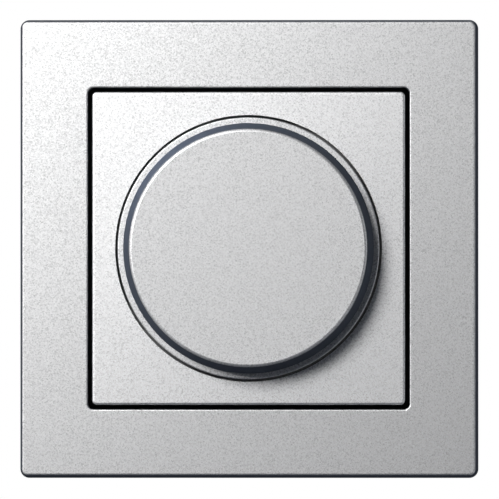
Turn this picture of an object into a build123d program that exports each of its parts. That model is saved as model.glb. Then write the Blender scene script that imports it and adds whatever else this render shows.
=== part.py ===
from build123d import *
from math import atan2, cos, degrees, radians, sin
import os

# A flush-mounted rotary push dimmer: trim in front of the wall, insert in a round wall box behind it.
# The wall surface is the plane y = 0. Heights count from it towards the room, which is -Y, and +Z is up.
# The origin is where the knob's axis meets the wall surface. All sizes are in millimetres and degrees.

# Cover frame, moulded plastic
frame_side = 81.0
frame_height = 9.6
frame_draft = 4.0
frame_corner = 1.6
frame_edge = 0.3
frame_wall = 1.7
frame_web = 2.0
frame_inner_wall = 1.3
frame_rib = 1.0
frame_rib_offset = 22.0
opening_corner = 1.0
opening_edge = 0.25
frame_ledge = 1.4
ledge_clear = 0.3
ledge_gap = 0.2

# Centre plate, moulded plastic
plate_side = 55.0
plate_gap = 0.8
plate_proud = 0.3
plate_corner = 0.8
plate_edge = 0.4
plate_web = 2.0
plate_wall = 1.4
plate_rib = 1.0
well_floor = 2.0
rim_recess_gap = 0.45
rim_recess_depth = 2.0
rim_recess_floor = 1.6
collar_clear = 0.8
collar_wall = 1.4
collar_overlap = 0.4
collar_edge = 0.4
plate_boss_r = 8.0

# Knob, moulded plastic
knob_top_r = 20.8
knob_step = 1.2
knob_ledge = 0.8
knob_round = 0.2
knob_rim_height = 1.0
knob_step_height = 5.9
knob_dish = 0.1
knob_edge = 0.5
knob_wall = 1.8
knob_web = 1.8
hub_r = 5.2
hub_split = 1.2
hub_split_depth = 3.0
knob_rib = 1.0
knob_rib_height = 1.8
knob_ribs = 6
push_travel = 1.8
push_clear = 0.4

# Spring ring in a groove of the hub
hub_ring_t = 0.7
hub_ring_width = 0.8
hub_ring_sink = 0.5
hub_ring_foot = 0.9
hub_ring_mouth = 2.4

# Lock nut and toothed lock washer
nut_flats = 14.0
nut_t = 2.6
nut_chamfer = 0.5
washer_r = 8.0
washer_t = 0.7
washer_teeth = 12
washer_notch = 1.2
thread_clear = 0.05

# Support ring, stamped steel
ring_t = 1.0
ring_margin = 3.05
ring_corner = 10.0
ring_hole_r = 19.0
box_spacing = 60.0
box_hole_r = 2.1
box_slot = 8.0
tab_t = 0.8
tab_w = 7.0
tab_rise = 4.0
tab_offset = 14.0
tab_clear = 0.15
tab_window = 4.2
lug_t = 1.0
lug_w = 3.2
lug_drop = 3.2
lug_round = 1.0
lug_clear = 0.15
trim_clear = 0.3

# Claws, their hinge pins, spreader nuts and screws
claw_t = 1.1
claw_w = 9.0
claw_length = 20.5
claw_reach = 1.8
claw_tooth = 1.4
claw_tooth_tip = 0.4
claw_gap = 3.0
claw_spread = 18.0
claw_ear_r = 1.3
claw_pin_depth = 1.6
claw_pin_r = 0.8
claw_pin_head_r = 1.3
claw_pin_head_t = 0.4
pin_fit = 0.05
ramp_clear = 0.2
claw_nut_t = 4.0
claw_nut_w = 5.4
claw_nut_depth = 15.0
claw_nut_travel = 7.0
claw_nut_clear = 0.3
claw_web_clear = 0.4
claw_screw_r = 1.5
claw_screw_length = 20.5
claw_head_r = 2.6
claw_head_t = 1.8
head_edge = 0.4
recess_w = 0.8
recess_length = 3.2
recess_depth = 1.0
screw_clear = 0.2

# Insert body: heat sink, cover and housing share one outline
insert_r = 25.5
bottom_cut = 4.0
sink_t = 1.6
cover_t = 1.8
casing_wall = 1.6
casing_floor = 1.8
casing_edge = 1.2
case_screw_r = 1.3
case_screw_length = 14.0
case_head_r = 2.1
case_head_t = 1.2
case_boss_r = 2.2
case_boss_inset = 0.15
case_screw_angle = 49.5
post_r = 2.0
post_peg_r = 0.9
post_peg_clear = 0.1
post_peg_rise = 0.6

# Potentiometer: bush, case, track, wiper rotor, shaft and its clip
bush_r = 5.0
bush_show = 0.9
bush_clear = 0.2
spigot_r = 4.0
shaft_r = 3.0
shaft_fit = 0.05
shaft_flat = 1.5
shaft_gap = 0.6
shaft_groove = 0.6
shaft_tongue = 4.4
hub_fit = 0.03
hub_clear = 0.2
clip_r = 4.4
clip_t = 0.6
clip_mouth = 3.6
clip_clear = 0.05
pot_r = 8.5
pot_wall = 1.0
rotor_t = 1.4
rotor_gap = 0.3
rotor_fit = 0.08
rotor_clear = 0.15
rotor_tooth = 0.8
rotor_tooth_w = 1.8
rotor_finger_r = 0.7
rotor_finger_inset = 0.9
rotor_drop = 0.8
finger_clear = 0.05
track_t = 0.8
track_hole_r = 4.2
track_clear = 0.05
turn_range = 280.0
stop_depth = 0.65
stop_clear = 1.5

# Circuit board
board_t = 1.6
board_gap = 0.4
lead_r = 0.4
lead_clear = 0.15
lead_tail = 0.7
lead_margin = 0.4
part_clear = 0.6
part_gap = 2.0
pot_pin_pitch = 2.0

# Push switch
switch_side = 11.6
switch_wall = 1.0
shaft_overlap = 0.6
plunger_nose_r = 2.8
plunger_lift = 0.4
plunger_t = 2.5
plunger_clear = 0.2
plunger_boss_r = 1.9
plunger_boss = 1.5
bridge_t = 0.5
bridge_r = 3.7
bridge_w = 2.4
bridge_gap = 0.3
bridge_clear = 0.05
contact_w = 1.2
contact_depth = 2.0
contact_inset = 0.5
contact_clear = 0.05
spring_gap = 0.2
spring_wire_r = 0.3
spring_length = 5.2
spring_turns = 4.0

# Power transistor on the heat sink
pad_t = 0.25
pad_margin = 0.4
transistor_w = 9.8
transistor_length = 15.4
transistor_tab_t = 1.3
transistor_tab_length = 6.4
transistor_t = 4.4
transistor_hole = 3.0
transistor_lead_pitch = 2.54
transistor_lead_w = 0.8
transistor_lead_drop = 1.5
transistor_screw_r = 1.4
transistor_head_r = 2.4
transistor_head_t = 1.6
transistor_clear = 0.45
window_clear = 0.15

# Choke, capacitors, resistors and fuse
choke_gap = 2.3
choke_core_wall = 2.5
choke_core_t = 6.0
choke_wire = 1.2
choke_fit = 0.05
film_w = 6.0
film_length = 16.0
film_depth = 11.0
film_pitch = 7.5
film_edge = 0.5
can_z = 2.5
can_r = 4.0
can_depth = 10.4
can_edge = 0.5
resistor_shift = 0.4
resistor_pitch = 3.4
resistor_count = 3
resistor_r = 1.2
resistor_length = 6.5
resistor_lead = 1.4
fuse_r = 2.6
fuse_length = 20.0
fuse_cap_length = 5.2
fuse_cap_wall = 0.3
fuse_glass_bore = 1.7
fuse_fit = 0.03
fuse_clip_t = 0.4
fuse_clip_w = 4.0
fuse_clip_rise = 4.4

# Terminals: screw, rising cage and fixed tab
terminal_count = 3
cage_w = 6.0
cage_depth = 5.8
cage_side = 0.8
cage_front = 1.0
cage_back = 1.2
cage_clear = 0.4
cage_guide = 0.2
cage_travel = 3.0
wire_gap = 3.2
entry_w = 4.4
tab_strip_t = 1.0
tab_strip_clear = 0.2
cage_room = 0.8
terminal_screw_r = 1.5
terminal_tip_clear = 0.2
terminal_head_r = 2.6
terminal_head_t = 1.5
terminal_head_sink = 0.4
terminal_recess_clear = 0.3
terminal_seat_t = 1.5
partition_t = 0.8
slot_w = 0.7

# Heights of the trim
opening_side = plate_side + 2 * plate_gap
plate_front = frame_height + plate_proud
trim_lift = ring_t + max(claw_head_t, case_head_t) + trim_clear
step_foot_r = knob_top_r + knob_step
ledge_r = step_foot_r + knob_ledge
knob_rim_r = ledge_r + knob_round
collar_r = knob_top_r - knob_wall - collar_clear
recess_r = knob_rim_r + rim_recess_gap
recess_front = plate_front - rim_recess_depth
recess_back = recess_front - rim_recess_floor
ledge_foot = ring_t + ledge_clear
ledge_top = trim_lift - ledge_gap
well_front = trim_lift + well_floor
knob_foot = recess_front + push_travel + push_clear
collar_top = knob_foot + collar_overlap
knob_shoulder = knob_foot + knob_rim_height
knob_top = knob_shoulder + knob_step_height
knob_under = knob_top - knob_dish - knob_web
bush_top = well_front + washer_t + nut_t + bush_show
hub_foot = bush_top + push_travel + hub_clear
shaft_top = knob_under - shaft_gap

# Heights behind the wall
sink_back = -sink_t
pot_front = sink_back - cover_t
pot_inside = pot_front - pot_wall
clip_front = pot_inside - clip_clear
clip_back = clip_front - clip_t
rotor_front = clip_back - push_travel - rotor_clear
rotor_back = rotor_front - rotor_t
track_front = rotor_back - rotor_drop
pot_back = track_front - track_t
board_back = pot_back - board_t
shaft_end = board_back + shaft_overlap
plunger_front = board_back - plunger_lift
plunger_back = plunger_front - plunger_t
bridge_back = plunger_back - bridge_t
switch_floor = bridge_back - spring_length
switch_back = switch_floor - switch_wall
cage_front_height = board_back - cage_clear
tab_front = cage_front_height - cage_front - wire_gap
tab_back = tab_front - tab_strip_t
cage_back_inner = tab_back - cage_room
cage_back_height = cage_back_inner - cage_back
terminal_tip = tab_back - terminal_tip_clear
chamber_back = cage_back_height - cage_travel - cage_clear
terminal_seat = chamber_back - terminal_seat_t
switch_depth = board_back - switch_back + lead_tail
part_depth = max(film_depth, can_depth, choke_core_t + 2 * choke_wire, switch_depth)
part_floor = board_back - part_depth - part_clear
casing_back = min(terminal_seat - terminal_head_t - terminal_head_sink, part_floor - casing_floor)
casing_inside = casing_back + casing_floor

# Places of the claws, screws and terminals
ring_side = frame_side - 2 * (frame_wall + ring_margin)
insert_flat = pot_r + transistor_w + 2 * transistor_clear + casing_wall
insert_bottom = insert_r - bottom_cut
nut_inner = insert_flat + claw_nut_clear
nut_outer = nut_inner + claw_nut_w
claw_x = nut_inner + claw_nut_w / 2
web_inner = nut_outer + claw_web_clear
web_outer = web_inner + claw_t
pivot_x = web_inner + claw_t / 2
lug_inner = claw_w / 2 + lug_clear
case_screw_place = insert_r - case_boss_inset - case_boss_r
case_x = case_screw_place * cos(radians(case_screw_angle))
case_z = case_screw_place * sin(radians(case_screw_angle))
screw_places = [(case_x, case_z), (-case_x, -case_z)]
post_places = [(-case_x, case_z), (case_x, -case_z)]
terminal_z = -(insert_bottom - casing_wall - cage_clear - cage_depth / 2)
tab_leg_z = terminal_z + cage_depth / 2 + cage_clear + tab_strip_t / 2
terminal_pitch = cage_w + 2 * cage_guide + partition_t
terminal_places = [(i - (terminal_count - 1) / 2) * terminal_pitch for i in range(terminal_count)]
tab_strip_w = cage_w - 2 * cage_side - 2 * tab_strip_clear

# Places of the board's parts
transistor_x = -(pot_r + transistor_clear + transistor_w / 2)
transistor_front = sink_back - pad_t
transistor_screw_z = transistor_length / 2 - transistor_hole
transistor_lead_z = -transistor_length / 2 - transistor_lead_drop
choke_top = insert_r - casing_wall - part_clear
choke_core_r = (choke_top - choke_gap - switch_side / 2) / 2 - choke_wire
choke_core_bore = choke_core_r - choke_core_wall
choke_z = choke_top - choke_core_r - choke_wire
film_x = switch_side / 2 + part_gap + film_w / 2
can_x = -(switch_side / 2 + part_gap + can_r)
fuse_x = pot_r + part_gap + fuse_r + fuse_clip_t
resistor_z = choke_z + resistor_shift - (resistor_count - 1) / 2 * resistor_pitch
fuse_height = pot_back + fuse_clip_t + fuse_r
resistor_reach = choke_core_r + choke_wire + resistor_lead
pot_pin_z = -(switch_side / 2 + lead_margin + lead_r)
pot_pins = [(x, pot_pin_z) for x in (-pot_pin_pitch, 0, pot_pin_pitch)]
choke_pins = [(x, choke_z) for x in (-choke_core_r, choke_core_r)]
film_pins = [(film_x, z) for z in (-film_pitch / 2, film_pitch / 2)]
can_pins = [(can_x, can_z + z) for z in (-can_r / 2, can_r / 2)]
resistor_rows = [resistor_z + i * resistor_pitch for i in range(resistor_count)]
resistor_pins = [(x, z) for z in resistor_rows for x in (-resistor_reach, resistor_reach)]
transistor_columns = [transistor_x + i * transistor_lead_pitch for i in (-1, 0, 1)]
transistor_pins = [(x, transistor_lead_z) for x in transistor_columns]
board_pins = pot_pins + choke_pins + film_pins + can_pins + resistor_pins + transistor_pins

# Section through the knob's axis: local x is the radius, local y the height
section = Plane(origin=(0, 0, 0), x_dir=(1, 0, 0), z_dir=(0, 0, -1))


def front(height):
    """Plane parallel to the wall that faces the room, with local x along +X and local y along +Z."""
    return Plane.XZ.offset(height)


def insert_outline(inset):
    """Round outline with a flat on each side for the claws and one below for the wire entries."""
    Circle(insert_r - inset)
    with Locations((0, (insert_r - insert_bottom) / 2)):
        Rectangle(2 * (insert_flat - inset), insert_r + insert_bottom - 2 * inset, mode=Mode.INTERSECT)


def cross_recess():
    """Cross-shaped driver recess."""
    Rectangle(recess_length, recess_w)
    Rectangle(recess_w, recess_length)


os.makedirs("parts", exist_ok=True)

# Cover frame: a drafted hollow moulding with ribs and an inner wall round the opening, whose foot has
# a ledge that reaches under the centre plate and is notched for the claw screws' heads where they come near
hollow_side = frame_side - 2 * frame_wall
rib_start = opening_side / 2 + frame_inner_wall / 2
rib_end = frame_side / 2 - 0.8 * frame_wall
with BuildPart() as cover_frame:
    with BuildSketch(front(0)):
        RectangleRounded(frame_side, frame_side, frame_corner)
    extrude(amount=frame_height, taper=frame_draft)
    fillet(cover_frame.faces().sort_by(Axis.Y)[0].edges(), frame_edge)
    with BuildSketch(front(0)):
        RectangleRounded(opening_side, opening_side, opening_corner)
    extrude(amount=frame_height, mode=Mode.SUBTRACT)
    fillet(cover_frame.faces().sort_by(Axis.Y)[0].inner_wires()[0].edges(), opening_edge)
    with BuildSketch(front(0)):
        Rectangle(hollow_side, hollow_side)
    extrude(amount=frame_height - frame_web, taper=frame_draft, mode=Mode.SUBTRACT)
    with BuildSketch(front(ledge_top)):
        inner_side = opening_side + 2 * frame_inner_wall
        RectangleRounded(inner_side, inner_side, opening_corner + frame_inner_wall)
        RectangleRounded(opening_side, opening_side, opening_corner, mode=Mode.SUBTRACT)
        with PolarLocations(0, 4):
            with Locations(*[((rib_start + rib_end) / 2, z) for z in (-frame_rib_offset, frame_rib_offset)]):
                Rectangle(rib_end - rib_start, frame_rib)
    extrude(amount=frame_height - frame_web - ledge_top)
    with BuildSketch(front(ledge_foot)):
        ledge_side = opening_side - 2 * frame_ledge
        RectangleRounded(inner_side, inner_side, opening_corner + frame_inner_wall)
        Rectangle(ledge_side, ledge_side, mode=Mode.SUBTRACT)
        with Locations((-claw_x, 0), (claw_x, 0)):
            Circle(claw_head_r + ledge_clear, mode=Mode.SUBTRACT)
    extrude(amount=ledge_top - ledge_foot)
cover_frame.part.label = "cover_frame"
export_step(cover_frame.part, "parts/cover_frame.step")

# Centre plate: a skirted square with a round recess for the knob's rim, a well for the lock nut and a collar
skirt_inside = plate_side - 2 * plate_wall
plate_rib_end = (skirt_inside + plate_wall) / 2
with BuildPart() as centre_plate:
    with BuildSketch(front(trim_lift)):
        RectangleRounded(plate_side, plate_side, plate_corner)
    extrude(amount=plate_front - trim_lift)
    fillet(centre_plate.faces().sort_by(Axis.Y)[0].edges(), plate_edge)
    with BuildSketch(front(trim_lift)):
        Rectangle(skirt_inside, skirt_inside)
    extrude(amount=plate_front - plate_web - trim_lift, mode=Mode.SUBTRACT)
    with BuildSketch(front(trim_lift)):
        with PolarLocations(0, 4):
            with Locations(((collar_r + plate_rib_end) / 2 - collar_wall / 4, 0)):
                Rectangle(plate_rib_end - collar_r + collar_wall / 2, plate_rib)
        Circle(collar_r)
    extrude(amount=plate_front - plate_web - trim_lift)
    with BuildSketch(front(recess_back)):
        Circle(recess_r + plate_wall)
    extrude(amount=plate_front - plate_web / 2 - recess_back)
    with BuildSketch(front(recess_front)):
        Circle(recess_r)
    extrude(amount=rim_recess_depth, mode=Mode.SUBTRACT)
    with BuildSketch(front(recess_back)):
        Circle(collar_r)
    extrude(amount=collar_top - recess_back)
    fillet(centre_plate.faces().sort_by(Axis.Y)[0].edges(), collar_edge)
    with BuildSketch(front(well_front)):
        Circle(collar_r - collar_wall)
    extrude(amount=collar_top - well_front, mode=Mode.SUBTRACT)
    with BuildSketch(front(0)):
        Circle(plate_boss_r)
    extrude(amount=trim_lift)
    with BuildSketch(front(0)):
        Circle(bush_r + bush_clear)
    extrude(amount=well_front, mode=Mode.SUBTRACT)
centre_plate.part.label = "centre_plate"
export_step(centre_plate.part, "parts/centre_plate.step")

# Knob: a tall dished cap on a low rim with a rounded edge, hollow below, with a split hub and ribs
foot_inside = step_foot_r - knob_wall
top_inside = knob_top_r - knob_wall
round_start = knob_shoulder - knob_round
round_turn = (ledge_r + knob_round * cos(radians(45)), round_start + knob_round * sin(radians(45)))
with BuildPart() as knob:
    with BuildSketch(section):
        with BuildLine():
            ThreePointArc(
                (0, knob_top - knob_dish),
                (knob_top_r / 2, knob_top - 0.75 * knob_dish),
                (knob_top_r, knob_top),
            )
            Polyline((knob_top_r, knob_top), (step_foot_r, knob_shoulder), (ledge_r, knob_shoulder))
            ThreePointArc((ledge_r, knob_shoulder), round_turn, (knob_rim_r, round_start))
            Polyline(
                (knob_rim_r, round_start),
                (knob_rim_r, knob_foot),
                (foot_inside, knob_foot),
                (top_inside, knob_under),
                (hub_r, knob_under),
                (hub_r, hub_foot),
                (0, hub_foot),
                (0, knob_top - knob_dish),
            )
        make_face()
    revolve(axis=Axis.Y)
    fillet(knob.edges().filter_by(GeomType.CIRCLE).group_by(Axis.Y)[0], knob_edge)
    with BuildSketch(front(knob_under)):
        with PolarLocations((hub_r + top_inside) / 2, knob_ribs):
            Rectangle(top_inside - hub_r + knob_wall, knob_rib)
    extrude(amount=-knob_rib_height)
    with BuildSketch(front(hub_foot)) as hub_bore:
        Circle(shaft_r + hub_fit)
        with Locations((0, -shaft_flat)):
            Rectangle(2 * shaft_r + 1, 2 * (shaft_r + hub_fit), mode=Mode.INTERSECT)
    extrude(amount=shaft_top + shaft_gap / 2 - hub_foot, mode=Mode.SUBTRACT)
    with BuildSketch(front(hub_foot)):
        Rectangle(2 * hub_r + 1, hub_split)
    extrude(amount=hub_split_depth, mode=Mode.SUBTRACT)
    with BuildSketch(front(hub_foot + hub_ring_foot)):
        Circle(hub_r + 1)
        Circle(hub_r - hub_ring_sink, mode=Mode.SUBTRACT)
    extrude(amount=hub_ring_t + 2 * thread_clear, mode=Mode.SUBTRACT)
knob.part.label = "knob"
export_step(knob.part, "parts/knob.step")

# Spring ring that grips the split hub on the shaft
hub_ring_inside = hub_r - hub_ring_sink + thread_clear
with BuildPart() as hub_ring:
    with BuildSketch(front(hub_foot + hub_ring_foot + thread_clear)):
        Circle(hub_ring_inside + hub_ring_width)
        Circle(hub_ring_inside, mode=Mode.SUBTRACT)
        with Locations((0, hub_ring_inside)):
            Rectangle(hub_ring_mouth, 2 * hub_ring_width, mode=Mode.SUBTRACT)
    extrude(amount=hub_ring_t)
hub_ring.part.label = "hub_ring"
export_step(hub_ring.part, "parts/hub_ring.step")

# Toothed lock washer under the nut
with BuildPart() as lock_washer:
    with BuildSketch(front(well_front)):
        Circle(washer_r)
        Circle(bush_r + thread_clear, mode=Mode.SUBTRACT)
        with PolarLocations(washer_r, washer_teeth):
            Rectangle(washer_notch, washer_notch, mode=Mode.SUBTRACT)
    extrude(amount=washer_t)
lock_washer.part.label = "lock_washer"
export_step(lock_washer.part, "parts/lock_washer.step")

# Hexagonal lock nut that clamps the centre plate on the threaded bush
with BuildPart() as lock_nut:
    with BuildSketch(front(well_front + washer_t)):
        RegularPolygon(nut_flats / 2, 6, major_radius=False)
        Circle(bush_r + thread_clear, mode=Mode.SUBTRACT)
    extrude(amount=nut_t)
    chamfer(lock_nut.faces().sort_by(Axis.Y)[0].outer_wire().edges(), nut_chamfer)
lock_nut.part.label = "lock_nut"
export_step(lock_nut.part, "parts/lock_nut.step")

# Support ring: stamped plate with box screw slots, frame tabs bent forward and claw lugs bent back
tab_inner = opening_side / 2 + frame_inner_wall + tab_clear
tab_places = [(x, z) for x in (-1, 1) for z in (-tab_offset, tab_offset)]
lug_places = [(x, z) for x in (-pivot_x, pivot_x) for z in (-1, 1)]
with BuildPart() as support_ring:
    with BuildSketch(front(0)):
        RectangleRounded(ring_side, ring_side, ring_corner)
        Circle(ring_hole_r, mode=Mode.SUBTRACT)
        with Locations((0, box_spacing / 2), (0, -box_spacing / 2)):
            SlotOverall(box_slot, 2 * box_hole_r, rotation=90, mode=Mode.SUBTRACT)
        with Locations((-claw_x, 0), (claw_x, 0)):
            Circle(claw_screw_r + screw_clear, mode=Mode.SUBTRACT)
        with Locations(*screw_places):
            Circle(case_screw_r + screw_clear, mode=Mode.SUBTRACT)
        with Locations(*[(x * (tab_inner + tab_t + tab_window / 2), z) for x, z in tab_places]):
            Rectangle(tab_window, tab_w, mode=Mode.SUBTRACT)
        with Locations(*[(x, z * (lug_inner + lug_t + lug_drop / 2)) for x, z in lug_places]):
            Rectangle(lug_w, lug_drop, mode=Mode.SUBTRACT)
    extrude(amount=ring_t)
    with BuildSketch(front(ring_t)):
        with Locations(*[(x * (tab_inner + tab_t / 2), z) for x, z in tab_places]):
            Rectangle(tab_t, tab_w)
    extrude(amount=tab_rise)
    with BuildSketch(front(0)):
        with Locations(*[(x, z * (lug_inner + lug_t / 2)) for x, z in lug_places]):
            Rectangle(lug_w, lug_t)
    extrude(amount=-lug_drop)
    fillet(support_ring.edges().filter_by(Axis.Z).group_by(Axis.Y)[-1], lug_round)
    with BuildSketch(Plane.XY):
        with Locations((-pivot_x, claw_pin_depth), (pivot_x, claw_pin_depth)):
            Circle(claw_pin_r + pin_fit)
    extrude(amount=lug_inner + lug_t, both=True, mode=Mode.SUBTRACT)
support_ring.part.label = "support_ring"
export_step(support_ring.part, "parts/support_ring.step")


def ramp_point(share):
    """Point of the claw's ramp that the nut's front edge has reached after a share of its travel."""
    turn = radians(claw_spread * share)
    across = nut_outer - pivot_x
    along = claw_nut_depth - claw_nut_travel * share - claw_pin_depth
    x = pivot_x + across * cos(turn) - along * sin(turn) + ramp_clear
    return (x, claw_pin_depth + across * sin(turn) + along * cos(turn))


# Claw: a bent steel channel that hinges behind the ring, with biting teeth at its tip
web_start = claw_pin_depth + claw_ear_r + claw_t / 2
tooth_reach = web_outer + claw_reach
ramp_top = ramp_point(1)
with BuildPart() as claw:
    with BuildSketch(Plane.XY):
        with BuildLine():
            Polyline(
                (web_inner, web_start),
                (web_outer, web_start),
                (web_outer, claw_length - claw_tooth - claw_tooth_tip),
                (tooth_reach, claw_length - claw_tooth_tip),
                (tooth_reach, claw_length),
                (web_inner, claw_length),
                close=True,
            )
        make_face()
    extrude(amount=claw_w / 2, both=True)
    with BuildSketch(Plane.XY.offset(claw_w / 2 - claw_t)):
        with BuildLine():
            ThreePointArc(ramp_point(0), ramp_point(0.5), ramp_top)
            Polyline(
                ramp_top,
                (pivot_x - claw_ear_r, claw_pin_depth),
                (web_outer, claw_pin_depth),
                (web_outer, ramp_point(0)[1]),
                ramp_point(0),
            )
        make_face()
        with Locations((pivot_x, claw_pin_depth)):
            Circle(claw_ear_r)
    extrude(amount=claw_t)
    mirror(about=Plane.XY)
    with BuildSketch(Plane.XY):
        with Locations((pivot_x, claw_pin_depth)):
            Circle(claw_pin_r + pin_fit)
    extrude(amount=claw_w, both=True, mode=Mode.SUBTRACT)
    with BuildSketch(Plane.YZ.offset(web_inner)):
        with Locations((claw_length, 0)):
            Rectangle(2 * claw_tooth, claw_gap)
    extrude(amount=claw_t + claw_reach, mode=Mode.SUBTRACT)

# Hinge pin riveted through both lugs and the claw
pin_half = lug_inner + lug_t
with BuildPart() as claw_pin:
    with BuildSketch(Plane.XY):
        with Locations((pivot_x, claw_pin_depth)):
            Circle(claw_pin_r)
    extrude(amount=pin_half, both=True)
    with BuildSketch(Plane.XY.offset(pin_half)):
        with Locations((pivot_x, claw_pin_depth)):
            Circle(claw_pin_head_r)
    extrude(amount=claw_pin_head_t)
    mirror(about=Plane.XY)

# Spreader nut: a square block that the screw draws forward between the claw's flanges
with BuildPart() as claw_nut:
    with BuildSketch(front(-claw_nut_depth)):
        with Locations((claw_x, 0)):
            Rectangle(claw_nut_w, claw_w - 2 * lug_clear)
            Circle(claw_screw_r + thread_clear, mode=Mode.SUBTRACT)
    extrude(amount=-claw_nut_t)

# Claw screw with a cross recess, its head on the ring
with BuildPart() as claw_screw:
    with BuildSketch(front(ring_t)):
        with Locations((claw_x, 0)):
            Circle(claw_head_r)
    extrude(amount=claw_head_t)
    fillet(claw_screw.faces().sort_by(Axis.Y)[0].edges(), head_edge)
    with BuildSketch(front(ring_t)):
        with Locations((claw_x, 0)):
            Circle(claw_screw_r)
    extrude(amount=-claw_screw_length - ring_t)
    with BuildSketch(front(ring_t + claw_head_t)):
        with Locations((claw_x, 0)):
            cross_recess()
    extrude(amount=-recess_depth, mode=Mode.SUBTRACT)

# The claws and what works them sit on both sides
claw_pieces = {"claw": claw, "claw_pin": claw_pin, "claw_nut": claw_nut, "claw_screw": claw_screw}
for name, piece in claw_pieces.items():
    with BuildPart() as left_piece:
        mirror(piece.part, about=Plane.YZ)
    piece.part.label = f"{name}_right"
    export_step(piece.part, f"parts/{name}_right.step")
    left_piece.part.label = f"{name}_left"
    export_step(left_piece.part, f"parts/{name}_left.step")

# Heat sink: aluminium plate behind the ring
with BuildPart() as heat_sink:
    with BuildSketch(front(sink_back)):
        insert_outline(0)
        Circle(bush_r + bush_clear, mode=Mode.SUBTRACT)
        with Locations(*screw_places):
            Circle(case_screw_r + screw_clear, mode=Mode.SUBTRACT)
        with Locations((transistor_x, transistor_screw_z)):
            Circle(transistor_screw_r + thread_clear, mode=Mode.SUBTRACT)
    extrude(amount=sink_t)
heat_sink.part.label = "heat_sink"
export_step(heat_sink.part, "parts/heat_sink.step")

# Insert cover: closes the housing, with a window that lets the transistor reach the heat sink
window_w = transistor_w + 2 * (pad_margin + window_clear)
window_length = transistor_length + 2 * (pad_margin + window_clear)
with BuildPart() as insert_cover:
    with BuildSketch(front(pot_front)):
        insert_outline(0)
        Circle(bush_r + bush_clear, mode=Mode.SUBTRACT)
        with Locations(*screw_places):
            Circle(case_screw_r + screw_clear, mode=Mode.SUBTRACT)
        with Locations((transistor_x, 0)):
            Rectangle(window_w, window_length, mode=Mode.SUBTRACT)
    extrude(amount=cover_t)
insert_cover.part.label = "insert_cover"
export_step(insert_cover.part, "parts/insert_cover.step")

# Housing: a cup with screw bosses, board posts, terminal chambers, wire entries and screw wells
chamber_z = terminal_z - cage_depth / 2 - cage_clear
chamber_depth = cage_depth + 2 * cage_clear
partition_places = [x + side * terminal_pitch / 2 for x in terminal_places for side in (-1, 1)]
with BuildPart() as housing:
    with BuildSketch(front(casing_back)):
        insert_outline(0)
    extrude(amount=pot_front - casing_back)
    fillet(housing.faces().sort_by(Axis.Y)[-1].edges(), casing_edge)
    with BuildSketch(front(casing_inside)):
        insert_outline(casing_wall)
    extrude(amount=pot_front - casing_inside, mode=Mode.SUBTRACT)
    with BuildSketch(front(casing_inside)):
        with Locations(*screw_places):
            Circle(case_boss_r)
    extrude(amount=pot_front - casing_inside)
    with BuildSketch(front(pot_front)):
        with Locations(*screw_places):
            Circle(case_screw_r + thread_clear)
    extrude(amount=-case_screw_length, mode=Mode.SUBTRACT)
    with BuildSketch(front(casing_inside)):
        with Locations(*post_places):
            Circle(post_r)
    extrude(amount=board_back - casing_inside)
    with BuildSketch(front(board_back)):
        with Locations(*post_places):
            Circle(post_peg_r)
    extrude(amount=board_t + post_peg_rise)
    with BuildSketch(front(casing_inside)):
        with Locations((0, chamber_z + chamber_depth / 2)):
            Rectangle(terminal_count * terminal_pitch + partition_t, chamber_depth)
    extrude(amount=chamber_back - casing_inside)
    with BuildSketch(front(casing_inside)):
        with Locations(*[(x, chamber_z + chamber_depth / 2) for x in partition_places]):
            Rectangle(partition_t, chamber_depth)
    extrude(amount=cage_front_height - casing_inside)
    with BuildSketch(front(casing_back)):
        with Locations(*[(x, terminal_z) for x in terminal_places]):
            Circle(terminal_screw_r + screw_clear)
    extrude(amount=chamber_back - casing_back, mode=Mode.SUBTRACT)
    with BuildSketch(front(casing_back)):
        with Locations(*[(x, terminal_z) for x in terminal_places]):
            Circle(terminal_head_r + terminal_recess_clear)
    extrude(amount=terminal_seat - casing_back, mode=Mode.SUBTRACT)
    with BuildSketch(front(tab_front)):
        with Locations(*[(x, -insert_bottom + casing_wall / 2) for x in terminal_places]):
            Rectangle(entry_w, 2 * casing_wall)
    extrude(amount=wire_gap, mode=Mode.SUBTRACT)
housing.part.label = "housing"
export_step(housing.part, "parts/housing.step")

# Housing screws: one node, each through ring, heat sink and cover into a boss
with BuildPart() as housing_screws:
    with BuildSketch(front(ring_t)):
        with Locations(*screw_places):
            Circle(case_head_r)
    extrude(amount=case_head_t)
    fillet(housing_screws.faces().group_by(Axis.Y)[0].edges(), head_edge)
    with BuildSketch(front(ring_t)):
        with Locations(*screw_places):
            Circle(case_screw_r)
    extrude(amount=-case_screw_length)
    with BuildSketch(front(ring_t + case_head_t)):
        with Locations(*screw_places):
            Rectangle(2 * case_screw_r, slot_w)
    extrude(amount=-case_head_t / 2, mode=Mode.SUBTRACT)
housing_screws.part.label = "housing_screws"
export_step(housing_screws.part, "parts/housing_screws.step")

# Threaded bush, riveted into the potentiometer's case
with BuildPart() as pot_bush:
    with BuildSketch(front(pot_front)):
        Circle(bush_r)
    extrude(amount=bush_top - pot_front)
    chamfer(pot_bush.faces().sort_by(Axis.Y)[0].edges(), nut_chamfer)
    with BuildSketch(front(pot_inside)):
        Circle(spigot_r)
    extrude(amount=pot_wall)
    with BuildSketch(front(pot_inside)):
        Circle(shaft_r + shaft_fit)
    extrude(amount=bush_top - pot_inside, mode=Mode.SUBTRACT)
pot_bush.part.label = "pot_bush"
export_step(pot_bush.part, "parts/pot_bush.step")

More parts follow.
